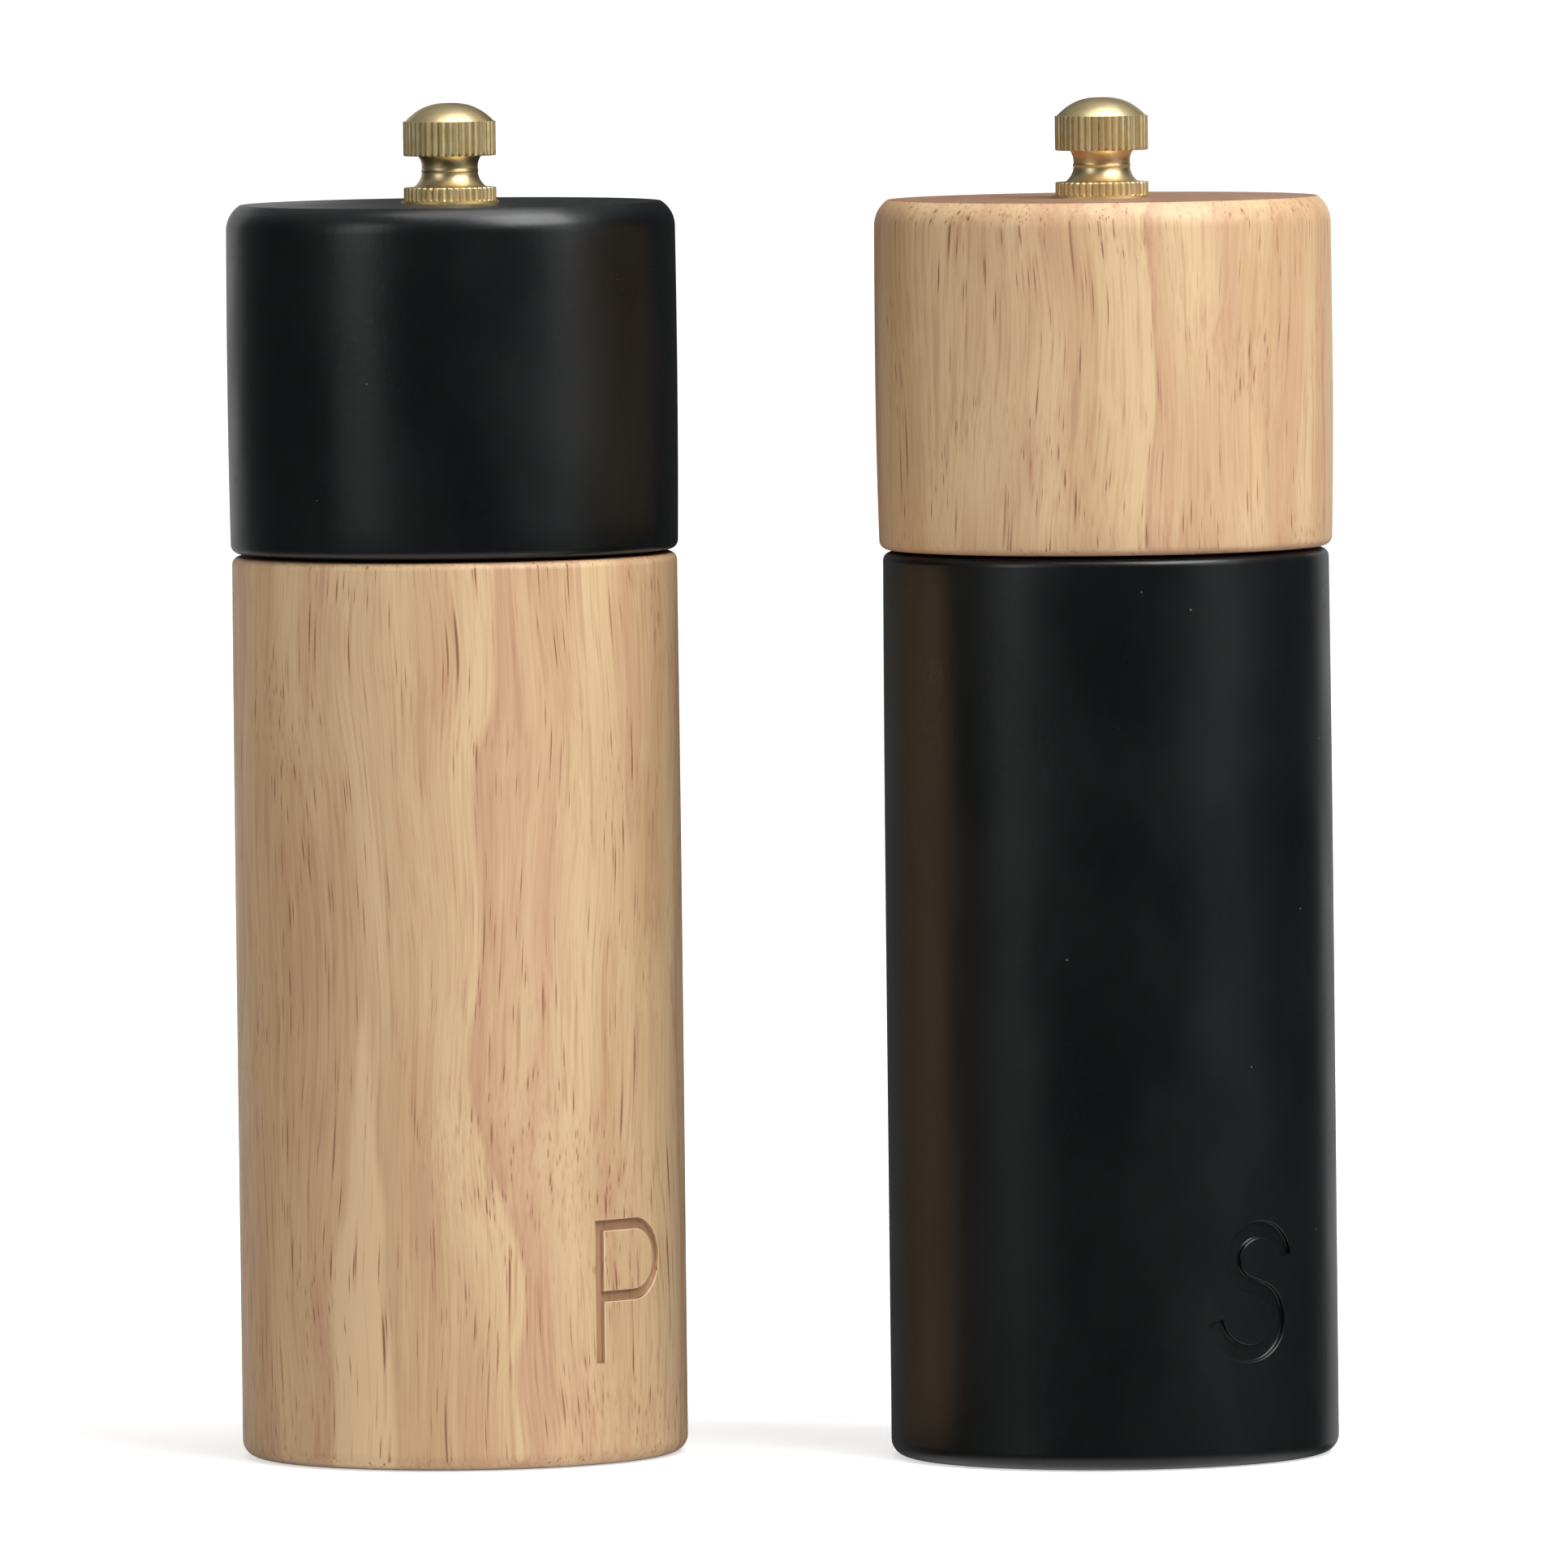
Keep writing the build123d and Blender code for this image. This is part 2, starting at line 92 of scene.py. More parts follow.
def grid_mesh(name, rings, closed_profile):
    """A mesh from rings of points, joined round each ring and from ring to ring."""
    mesh = bpy.data.meshes.new(name)
    around = len(rings[0])
    count = len(rings)
    faces = []
    for row in range(count if closed_profile else count - 1):
        below, above = row * around, (row + 1) % count * around
        for column in range(around):
            after = (column + 1) % around
            faces.append((below + column, below + after, above + after, above + column))
    if not closed_profile:
        faces.append(tuple(reversed(range(around))))
        faces.append(tuple((count - 1) * around + column for column in range(around)))
    mesh.from_pydata([point for ring in rings for point in ring], [], faces)
    return mesh


def on_circle(centre, radius, angle, height):
    """A point at an angle on a level circle about a mill's axis."""
    return (centre.x + radius * math.cos(angle), centre.y + radius * math.sin(angle), height)


def lathe(name, centre, profile, around=AROUND):
    """Turn a closed profile of (radius, height) points about a mill's axis."""
    rings = [[on_circle(centre, radius, 2 * math.pi * column / around, height) for column in range(around)]
             for radius, height in profile]
    return grid_mesh(name, rings, closed_profile=True)


def arc(radius, height, fillet, start, end, steps=8):
    """Points of a fillet about (radius, height), between two angles in degrees."""
    points = []
    for step in range(steps + 1):
        angle = math.radians(start + (end - start) * step / steps)
        points.append((radius + fillet * math.cos(angle), height + fillet * math.sin(angle)))
    return points


# ---- Turned wood -----------------------------------------------------------------

BODY_TOP_FILLET = 1.0 * MM
BODY_FOOT_FILLET = 2.0 * MM
HEAD_FOOT_FILLET = 1.1 * MM
EASED_EDGE = 0.25 * MM
# A head's top edge: how wide it is, and how far it drops.
SHOULDER = {"pepper": (1.7 * MM, 3.1 * MM), "salt": (1.6 * MM, 3.2 * MM)}
# What is taken off the radius at the top, and at the foot.
BODY_TAPER = {"pepper": (0.10 * MM, 0.04 * MM), "salt": (0.16 * MM, 0.0)}
HEAD_TAPER = {"pepper": (0.08 * MM, 0.16 * MM), "salt": (0.07 * MM, 0.28 * MM)}


def barrel(radius, low, high, top_loss, foot_loss, fullest=0.55, steps=14):
    """Points up a side that is fullest part of the way up and slightly slimmer at its ends."""
    points = []
    for step in range(1, steps):
        share = step / steps
        if share < fullest:
            loss = foot_loss * ((fullest - share) / fullest) ** 2
        else:
            loss = top_loss * ((share - fullest) / (1 - fullest)) ** 2
        points.append((radius - loss, low + (high - low) * share))
    return points


def body_profile(mill):
    """Outline of the bored body, up the outside and down the bore."""
    radius = radius_of(f"{mill}_body")
    foot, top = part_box(f"{mill}_body")[0].z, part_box(f"{mill}_body")[1].z
    top_loss, foot_loss = BODY_TAPER[mill]
    collar = radius_of(f"{mill}_body_collar")
    collar_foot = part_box(f"{mill}_body_collar")[0].z
    sleeve_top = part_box(f"{mill}_grinder_housing")[1].z
    sleeve, hopper, recess = 13.5 * MM, 17.5 * MM, 21.0 * MM
    flange_top, funnel_top = 4.5 * MM, 28.0 * MM
    outside = arc(radius - foot_loss - BODY_FOOT_FILLET, foot + BODY_FOOT_FILLET, BODY_FOOT_FILLET, -90, 0)
    outside += barrel(radius, foot + BODY_FOOT_FILLET, top - BODY_TOP_FILLET, top_loss, foot_loss)
    outside += arc(radius - top_loss - BODY_TOP_FILLET, top - BODY_TOP_FILLET, BODY_TOP_FILLET, 0, 90, 6)
    bore = [
        (collar + EASED_EDGE, top), (collar, top - EASED_EDGE), (collar, collar_foot),
        (hopper, collar_foot), (hopper, funnel_top), (sleeve, sleeve_top), (sleeve, flange_top),
        (recess, flange_top), (recess, foot + EASED_EDGE), (recess + EASED_EDGE, foot),
    ]
    return outside + bore


def head_profile(mill):
    """Outline of the head, up the outside and down the shaft bore."""
    radius = radius_of(f"{mill}_head")
    spigot_foot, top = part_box(f"{mill}_head")[0].z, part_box(f"{mill}_head")[1].z
    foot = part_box(f"{mill}_body_collar")[1].z
    top_loss, foot_loss = HEAD_TAPER[mill]
    width, drop = SHOULDER[mill]
    sweep = (width ** 2 + drop ** 2) / (2 * width)     # the shoulder's radius: it meets the top at an edge
    steepest = math.degrees(math.asin(drop / sweep))
    spigot, bore = 18.9 * MM, 4.2 * MM
    low = foot + HEAD_FOOT_FILLET
    outside = [(spigot - EASED_EDGE, spigot_foot), (spigot, spigot_foot + EASED_EDGE), (spigot, foot)]
    outside += arc(radius - foot_loss - HEAD_FOOT_FILLET, low, HEAD_FOOT_FILLET, -90, 0, 6)
    outside += barrel(radius, low, top - drop, top_loss, foot_loss)
    outside += arc(radius - top_loss - sweep, top - drop, sweep, 0, steepest, 12)
    outside.append((radius - top_loss - width - 0.5 * EASED_EDGE, top))
    return outside + [(bore + EASED_EDGE, top), (bore, top - EASED_EDGE), (bore, spigot_foot)]


# ---- Letters cut by a router -----------------------------------------------------

LETTER_STROKE = {"pepper": 1.3 * MM, "salt": 2.0 * MM}
LETTER_DEPTH = 0.6 * MM
LETTER_RIM = 0.16 * MM             # radius of the rounded edge of a groove
LETTER_BASE = 12.6 * MM
LETTER_AZIMUTH = {"pepper": 49.3, "salt": 37.8}


def straight(start, end, step=0.3):
    """Points along a straight run of a letter, in millimetres."""
    count = max(2, round(math.dist(start, end) / step))
    return [tuple(a + (b - a) * i / count for a, b in zip(start, end)) for i in range(count + 1)]


def curved(place, heading, radius, turn, step_degrees=4):
    """Points along an arc that leaves a place on a heading, and its new heading."""
    count = max(2, round(abs(turn) / step_degrees))
    points = [place]
    x, y = place
    side = 1 if turn > 0 else -1
    angle = heading
    for _ in range(count):
        chord = 2 * radius * math.sin(math.radians(abs(turn) / count / 2))
        middle = math.radians(angle + side * abs(turn) / count / 2)
        x, y = x + chord * math.cos(middle), y + chord * math.sin(middle)
        angle += turn / count
        points.append((x, y))
    return points, angle


def strokes_p():
    """Centre lines of the P: its stem, and its bowl."""
    height, half_width, bowl = 17.5, 5.15, 4.35
    half_stroke = LETTER_STROKE["pepper"] / MM / 2
    top = height - half_stroke
    turn = half_width - bowl
    stem = straight((-half_width, 0), (-half_width, height))
    upper = straight((-half_width, top), (turn, top))
    round_bowl, _ = curved((turn, top), 0, bowl, -180)
    lower = straight((turn, top - 2 * bowl), (-half_width, top - 2 * bowl))
    return [stem, upper + round_bowl[1:] + lower[1:]]


def strokes_s():
    """Centre line of the S, as arcs that run into each other."""
    runs = [(4.0, 35), (4.5, 85), (3.3, 120), (None, 2.6), (3.7, -120), (5.1, -85), (5.0, -35)]
    line, heading = [(5.3, 12.8)], 100
    for radius, amount in runs:
        if radius is None:
            ahead = math.radians(heading)
            x, y = line[-1]
            run = straight((x, y), (x + amount * math.cos(ahead), y + amount * math.sin(ahead)))
        else:
            run, heading = curved(line[-1], heading, radius, amount)
        line += run[1:]
    return [line]


def groove_rows(half, surface):
    """One side of a groove's section, as (distance from the mill's axis, offset from the stroke's line)."""
    floor = surface - LETTER_DEPTH
    rim = []
    for angle in (70, 45, 20, 0):
        turn = math.radians(angle)
        rim.append((surface - LETTER_RIM * (1 - math.sin(turn)), half + LETTER_RIM * (1 - math.cos(turn))))
    above = (surface + 0.06 * MM, rim[0][1] + 0.19 * MM)
    return [above] + rim + [(floor + 0.08 * MM, half - 0.05 * MM), (floor, half - 0.13 * MM)]


def groove_cutter(name, line, mill, centre, surface):
    """A closed ribbon along a stroke: flared at the surface, its floor at the groove's depth."""
    rows = groove_rows(LETTER_STROKE[mill] / 2, surface)
    facing = Matrix.Rotation(math.radians(LETTER_AZIMUTH[mill]), 3, "Z")
    rings = []
    for index, (x, z) in enumerate(line):
        before, after = line[max(index - 1, 0)], line[min(index + 1, len(line) - 1)]
        along = Vector((after[0] - before[0], after[1] - before[1])).normalized()
        across = Vector((-along.y, along.x))
        ring = []
        for side, ordered in ((1, rows), (-1, reversed(rows))):
            for radius, offset in ordered:
                s = x * MM + side * offset * across.x
                height = LETTER_BASE + z * MM + side * offset * across.y
                point = facing @ Vector((s, -math.sqrt(radius ** 2 - s ** 2), 0))
                ring.append((centre.x + point.x, centre.y + point.y, height))
        rings.append(ring)
    mesh = grid_mesh(name, rings, closed_profile=False)
    mesh.update()
    return new_object(name, mesh)


def cut_letter(body, mill, centre):
    """Cut the letter's strokes out of a body, then shade its side as a true cylinder."""
    surface = radius_of(f"{mill}_body")
    for number, line in enumerate({"pepper": strokes_p, "salt": strokes_s}[mill]()):
        cutter = groove_cutter(f"{mill}_cutter_{number}", line, mill, centre, surface)
        fix_normals(cutter.data)
        cut = body.modifiers.new("letter", "BOOLEAN")
        cut.operation, cut.solver, cut.object = "DIFFERENCE", "EXACT", cutter
        apply_modifiers(body)
        bpy.data.objects.remove(cutter)
    body.data.shade_smooth()
    body.data.set_sharp_from_angle(angle=math.radians(30))
    shade_side(body.data, centre, surface)


def fix_normals(mesh):
    """Point every face outwards."""
    work = bmesh.new()
    work.from_mesh(mesh)
    bmesh.ops.recalc_face_normals(work, faces=work.faces)
    work.to_mesh(mesh)
    work.free()


def apply_modifiers(made):
    """Replace an object's mesh by its evaluated one."""
    graph = bpy.context.evaluated_depsgraph_get()
    mesh = bpy.data.meshes.new_from_object(made.evaluated_get(graph))
    made.modifiers.clear()
    made.data = mesh


def shade_side(mesh, centre, surface):
    """Give the flat-sided faces of a turned side the normals of a true cylinder."""
    normals = [Vector(corner.vector) for corner in mesh.corner_normals]
    for face in mesh.polygons:
        outward = Vector((face.center.x - centre.x, face.center.y - centre.y, 0))
        on_side = outward.length > surface - 0.3 * MM and outward.normalized().dot(face.normal) > 0.998
        if not on_side:
            continue
        for corner in face.loop_indices:
            place = mesh.vertices[mesh.loops[corner].vertex_index].co
            radial = Vector((place.x - centre.x, place.y - centre.y, 0)).normalized()
            normals[corner] = (radial + Vector((0, 0, face.normal.z))).normalized()
    mesh.normals_split_custom_set(normals)


def turned_piece(mill, part, profile):
    """A turned wooden piece in place of its CAD node."""
    node = f"{mill}_{part}"
    centre = axis_of(mill)
    mesh = lathe(node + "_turned", centre, profile(mill))
    fix_normals(mesh)
    made = new_object(node + "_turned", mesh)
    if part == "body":
        cut_letter(made, mill, centre)
    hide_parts(node)
    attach(made, f"{mill}_base" if part == "body" else f"{mill}_top")
    natural = WOODEN[mill] == part
    made.data.materials.append(natural_wood(mill) if natural else black_lacquer(mill))
    return made


# ---- Knurled knob ----------------------------------------------------------------

KNOB_TEETH = 40
TOOTH_DEPTH = 0.24 * MM
TOOL_LINE_HEIGHT = 3.7 * MM        # the ridge a turning tool left round the waist


def knob_profile(radius, height):
    """(radius, height, knurl share) up the knob's outside, from the washer to the dome."""
    flange_top, neck_top, band_top = 1.65 * MM, 5.5 * MM, 9.75 * MM
    bevel = 0.12 * MM
    points = [(radius - bevel, 0, 0.6), (radius, bevel, 1), (radius, flange_top - bevel, 1)]
    points += [(radius - bevel, flange_top, 0.8), (4.55 * MM, flange_top + 0.03 * MM, 0)]
    waist, waist_height = 3.45 * MM, 3.9 * MM
    for step in range(1, 33):
        share = step / 32
        height_here = flange_top + (neck_top - flange_top) * share
        end = 4.5 * MM if height_here < waist_height else 3.9 * MM
        span = waist_height - flange_top if height_here < waist_height else neck_top - waist_height
        away = min(abs(height_here - waist_height) / span, 1)
        tool_line = 0.10 * MM * math.exp(-((height_here - TOOL_LINE_HEIGHT) / (0.13 * MM)) ** 2)
        points.append((waist + (end - waist) * away ** 2.6 + tool_line, height_here, 0))
    points += [(radius - bevel, neck_top + 0.02 * MM, 0.6), (radius, neck_top + bevel, 1)]
    points.append((radius, band_top, 1))
    rim, rise = radius - 0.9 * TOOTH_DEPTH, height - band_top
    for step in range(19):
        across = 1 - step / 18
        points.append((max(rim * across, 0.02 * MM), height - rise * across ** 2.6, 0))
    return points


def refined(points, longest):
    """The same outline with its long steps divided."""
    fine = [points[0]]
    for start, end in zip(points, points[1:]):
        parts = max(1, math.ceil(math.dist(start[:2], end[:2]) / longest))
        for part in range(1, parts + 1):
            fine.append(tuple(a + (b - a) * part / parts for a, b in zip(start, end)))
    return fine


def knob(mill, seed):
    """Brass knob with a straight, slightly uneven knurl on its two bands."""
    node = f"{mill}_knob"
    low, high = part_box(node)
    centre = axis_of(mill)
    radius = radius_of(node)
    samples = 12                                  # columns to a tooth
    rings = []
    for ring_radius, height, knurl in refined(knob_profile(radius, high.z - low.z), 0.35 * MM):
        ring = []
        for column in range(KNOB_TEETH * samples):
            tooth, phase = divmod(column, samples)
            worn = 0.12 * noise.noise(Vector((tooth * 1.7, height * 900, seed)))
            uneven = 0.5 + 0.5 * noise.noise(Vector((tooth * 7.3, seed, 0.5)))
            valley = min(abs(2 * (phase / samples) - 1) * (1.25 + 0.9 * uneven), 1)
            cut = TOOTH_DEPTH * knurl * (1 - valley) * (0.75 + 0.5 * uneven + worn)
            skew = 0.12 * math.sin(tooth * 2.4 + seed) * knurl / samples
            angle = 2 * math.pi * (column + skew) / (KNOB_TEETH * samples)
            ring.append(on_circle(centre, ring_radius - cut, angle, low.z + height))
        rings.append(ring)
    hole, depth = 2.5 * MM, 9.0 * MM
    inside = [(hole, 0), (hole, depth), (0.02 * MM, depth)]
    around = KNOB_TEETH * samples
    for ring_radius, height in inside:
        rings.insert(0, [on_circle(centre, ring_radius, 2 * math.pi * column / around, low.z + height)
                         for column in range(around)])
    mesh = grid_mesh(node + "_knurled", rings, closed_profile=False)
    fix_normals(mesh)
    made = new_object(node + "_knurled", mesh)
    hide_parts(node)
    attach(made, f"{mill}_adjuster")
    made.data.materials.append(brass(mill, mill))
    return made


# ---- Node helpers ----------------------------------------------------------------

class Nodes:
    """A node tree under construction: makes nodes and links in one call."""

    def __init__(self, tree):
        self.tree = tree

    def add(self, kind, inputs=None, **settings):
        """A node of one kind; inputs by name or number are values or other sockets."""
        made = self.tree.nodes.new("ShaderNode" + kind)
        for key, value in settings.items():
            setattr(made, key, value)
        for key, value in (inputs or {}).items():
            if isinstance(value, bpy.types.NodeSocket):
                self.tree.links.new(value, made.inputs[key])
            else:
                made.inputs[key].default_value = value
        return made

    def math(self, operation, first, second=0.0):
        """One sum of two values."""
        return self.add("Math", {0: first, 1: second}, operation=operation).outputs[0]

    def band(self, value, low, high, to_low=0.0, to_high=1.0, smooth=True):
        """A value's share of the way from low to high, eased and clamped."""
        made = self.add("MapRange", {0: value, 1: low, 2: high, 3: to_low, 4: to_high},
                        interpolation_type="SMOOTHSTEP" if smooth else "LINEAR")
        return made.outputs[0]

    def mix(self, share, first, second):
        """A colour between two, each a socket or three numbers."""
        made = self.add("Mix", data_type="RGBA")
        for socket, value in ((made.inputs[0], share), (made.inputs[6], first), (made.inputs[7], second)):
            if isinstance(value, bpy.types.NodeSocket):
                self.tree.links.new(value, socket)
            elif socket.type == "RGBA":
                socket.default_value = (*value, 1)
            else:
                socket.default_value = value
        return made.outputs[2]

    def place(self, centre, scale, turn=(0, 0, 0)):
        """Object coordinates about a mill's axis, in millimetres times a scale for each axis."""
        coordinates = self.add("TexCoord").outputs["Object"]
        moved = self.add("VectorMath", {0: coordinates, 1: tuple(centre)}, operation="SUBTRACT").outputs[0]
        scaled = self.add("Mapping", {"Vector": moved, "Rotation": tuple(math.radians(a) for a in turn),
                                      "Scale": tuple(1000 * s for s in scale)}, vector_type="POINT")
        return scaled.outputs[0]

    def scaled(self, vector, factors):
        """A vector with each part multiplied."""
        return self.add("VectorMath", {0: vector, 1: factors}, operation="MULTIPLY").outputs[0]

    def noise(self, vector, scale, detail=2.0, roughness=0.5):
        """A smooth random value between 0 and 1."""
        settings = {"Vector": vector, "Scale": scale, "Detail": detail, "Roughness": roughness}
        return self.add("TexNoise", settings).outputs[0]

    def bump(self, height, distance, strength, normal=None):
        """A normal tilted by a height, given in units of a distance in metres."""
        inputs = {"Height": height, "Distance": distance, "Strength": strength}
        if normal is not None:
            inputs["Normal"] = normal
        return self.add("Bump", inputs).outputs[0]


class Shader(Nodes):
    """A material, with its surface shader."""

    def __init__(self, name, **surface):
        self.material = bpy.data.materials.new(name)
        self.material.use_nodes = True
        super().__init__(self.material.node_tree)
        self.surface = self.tree.nodes["Principled BSDF"]
        for socket, value in surface.items():
            self.surface.inputs[socket.replace("_", " ")].default_value = value

    def finish(self, colour=None, roughness=None, normal=None):
        """Link what varies over the surface, and hand back the material."""
        for socket, value in (("Base Color", colour), ("Roughness", roughness), ("Normal", normal)):
            if value is not None:
                self.tree.links.new(value, self.surface.inputs[socket])
        return self.material


# ---- Natural wood ----------------------------------------------------------------

PITH = {"pepper": (22.5, 32.5), "salt": (44.0, -62.0)}        # mm from the mill's axis; outside the piece
PITH_LEAN = {"pepper": (-0.045, 0.01), "salt": (0.03, 0.02)}  # how far the pith leans, per mm of height
RING_WIDTH = {"pepper": 20.0, "salt": 40.0}
RING_EDGE = {"pepper": 60.9, "salt": 55.0}                    # mm from the pith to the end of one ring
LATE_WOOD = 3.6                                               # mm over which a ring darkens before it ends
TAN, PALE = (0.575, 0.375, 0.200), (0.690, 0.490, 0.275)
PINK, BROWN = (0.530, 0.300, 0.175), (0.430, 0.215, 0.112)
PORE, PORE_EDGE = (0.235, 0.085, 0.042), (0.41, 0.165, 0.080)
END_DARK, END_LIGHT, END_PORE = (0.17, 0.080, 0.050), (0.34, 0.175, 0.112), (0.085, 0.035, 0.020)
SUNK_COLOUR, BROKEN_FIBRE = (0.33, 0.165, 0.088), (0.84, 0.68, 0.46)
PORES = (    # (cells per mm across, and along the grain; how far a pore reaches in its cell; how many)
    (1.15, 0.030, 0.205, 0.32), (2.0, 0.045, 0.225, 0.42), (3.2, 0.080, 0.220, 0.45),
)


def natural_wood(mill):
    """Solid rubberwood: growth bands about a distant pith, streaks, fibres and pores."""
    s = Shader(f"{mill}_natural_wood", Roughness=0.45)
    centre = axis_of(mill)
    surface_radius = radius_of(f"{mill}_{WOODEN[mill]}") / MM
    millimetres = s.place(centre, (1, 1, 1))

    # A slow warp, stretched along the grain, carries the whole figure with it.
    slow = s.scaled(millimetres, (0.034, 0.034, 0.019))
    warp = s.add("TexNoise", {"Vector": slow, "Scale": 1.0, "Detail": 1.5, "Roughness": 0.4}).outputs[1]
    offset = s.add("VectorMath", {0: warp, 1: (0.5, 0.5, 0.5)}, operation="SUBTRACT").outputs[0]
    swing = s.scaled(offset, (11.0, 11.0, 0.0))
    figure = s.add("VectorMath", {0: millimetres, 1: swing}, operation="ADD").outputs[0]

    # Growth bands: distance from the pith. Each ends in a sharp line of late wood.
    height = s.add("SeparateXYZ", {0: millimetres}).outputs[2]
    lean = s.add("CombineXYZ", {0: s.math("MULTIPLY", height, PITH_LEAN[mill][0]),
                                1: s.math("MULTIPLY", height, PITH_LEAN[mill][1])}).outputs[0]
    leaning = s.add("VectorMath", {0: figure, 1: lean}, operation="SUBTRACT").outputs[0]
    from_pith = s.add("VectorMath", {0: leaning, 1: (*PITH[mill], 0.0)}, operation="SUBTRACT").outputs[0]
    distance = s.add("VectorMath", {0: s.scaled(from_pith, (1, 1, 0))}, operation="LENGTH").outputs["Value"]
    start = 2.0 - RING_EDGE[mill] / RING_WIDTH[mill] % 1.0
    years = s.math("ADD", s.math("DIVIDE", distance, RING_WIDTH[mill]), start)
    season = s.math("FRACT", years)
    darkest = 1.0 - 0.25 / RING_WIDTH[mill]
    ripe = s.math("POWER", s.band(season, 1.0 - LATE_WOOD / RING_WIDTH[mill], darkest, smooth=False), 1.5)
    late = s.math("MULTIPLY", ripe, s.band(season, darkest, 1.0, 1.0, 0.0, smooth=False))

    # Broad tints, long streaks and fine fibres.
    broad = s.noise(s.scaled(figure, (0.10, 0.10, 0.011)), 1.0, 1.0)
    blush = s.noise(s.scaled(figure, (0.16, 0.16, 0.022)), 1.0, 2.0, 0.5)
    streak = s.noise(s.scaled(figure, (1.05, 1.05, 0.022)), 1.0, 3.0, 0.65)
    fibre = s.noise(s.scaled(figure, (3.6, 3.6, 0.07)), 1.0, 2.0, 0.6)

    colour = s.mix(s.band(broad, 0.36, 0.62), TAN, PALE)
    colour = s.mix(s.band(blush, 0.50, 0.68, 0.0, 0.55), colour, PINK)
    colour = s.mix(s.math("MULTIPLY", late, 0.85), colour, PINK)
    colour = s.mix(s.band(streak, 0.50, 0.70, 0.0, 0.46), colour, BROWN)
    colour = s.mix(s.band(streak, 0.46, 0.30, 0.0, 0.40), colour, PALE)
    colour = s.mix(s.band(fibre, 0.44, 0.68, 0.0, 0.24), colour, BROWN)

    if mill == "pepper":
        colour = pale_flame(s, figure, colour)

    # Pores: long thin cells with a reddish edge, open only where a slow noise lets them.
    crowd = s.noise(s.scaled(figure, (0.22, 0.22, 0.03)), 1.0, 2.0)
    pores, halos = None, None
    for across, along, reach, share in PORES:
        cells = s.add("TexVoronoi", {"Vector": s.scaled(figure, (across, across, along)), "Scale": 1.0})
        core = s.band(cells.outputs["Distance"], reach, reach * 0.5)
        halo = s.band(cells.outputs["Distance"], reach * 2.0, reach * 0.6)
        shade = s.add("SeparateColor", {0: cells.outputs["Color"]}).outputs[0]
        chosen = s.band(shade, 1.0 - share, 1.15 - share)
        core, halo = s.math("MULTIPLY", core, chosen), s.math("MULTIPLY", halo, chosen)
        pores = core if pores is None else s.math("MAXIMUM", pores, core)
        halos = halo if halos is None else s.math("MAXIMUM", halos, halo)
    open_here = s.band(crowd, 0.34, 0.58, 0.22, 1.0)
    pores = s.math("MULTIPLY", pores, open_here)
    colour = s.mix(s.math("MULTIPLY", s.math("MULTIPLY", halos, open_here), 0.46), colour, PORE_EDGE)
    colour = s.mix(s.math("MULTIPLY", pores, 0.85), colour, PORE)

    # End grain drinks more oil and looks darker. Everything sunk below the turned surface, the letter
    # grooves and the bores, is coloured darker too.
    facing = s.add("SeparateXYZ", {0: s.add("NewGeometry").outputs["Normal"]}).outputs[2]
    end_grain = s.band(s.math("ABSOLUTE", facing), 0.84, 0.97)
    colour = s.mix(s.math("MULTIPLY", end_grain, 0.85), colour, end_grain_colour(s, distance, millimetres))
    out = s.add("VectorMath", {0: s.scaled(millimetres, (1, 1, 0))}, operation="LENGTH").outputs["Value"]
    sunk = s.band(out, surface_radius - 0.60, surface_radius - 0.15, 1.0, 0.0)
    foot, top = (corner.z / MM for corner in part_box(f"{mill}_{WOODEN[mill]}"))
    clear_of_ends = s.math("MULTIPLY", s.band(height, foot + 2.5, foot + 4.0),
                           s.band(height, top - 3.5, top - 5.0))
    colour = s.mix(s.math("MULTIPLY", s.math("MULTIPLY", sunk, clear_of_ends), 0.70), colour, SUNK_COLOUR)
    if mill == "pepper":
        colour = pale_rim(s, millimetres, out, clear_of_ends, surface_radius, colour)

    relief = s.math("SUBTRACT", s.math("MULTIPLY", fibre, 0.35), pores)
    normal = s.bump(relief, 0.00006, 0.55)
    hand = s.noise(s.place(centre, (0.10, 0.10, 0.05)), 1.0, 1.0)
    normal = s.bump(hand, 0.0006, 0.35, normal)
    roughness = s.band(s.math("ADD", fibre, pores), 0.3, 1.2, 0.42, 0.62)
    return s.finish(colour, roughness, normal)


def end_grain_colour(s, distance, millimetres):
    """Darker wood cut across: fine growth arcs about the pith, and the open ends of the pores."""
    arcs = s.noise(s.add("CombineXYZ", {0: distance}).outputs[0], 0.55, 4.0, 0.65)
    rays = s.noise(s.scaled(millimetres, (0.30, 0.30, 0.0)), 1.0, 3.0, 0.6)
    tone = s.math("ADD", s.math("MULTIPLY", arcs, 0.65), s.math("MULTIPLY", rays, 0.35))
    colour = s.mix(s.band(tone, 0.36, 0.64), END_DARK, END_LIGHT)
    flat = s.scaled(millimetres, (1.5, 1.5, 0.0))
    cells = s.add("TexVoronoi", {"Vector": flat, "Scale": 1.0, "Randomness": 1.0}).outputs["Distance"]
    return s.mix(s.band(cells, 0.30, 0.12, 0.0, 0.55), colour, END_PORE)


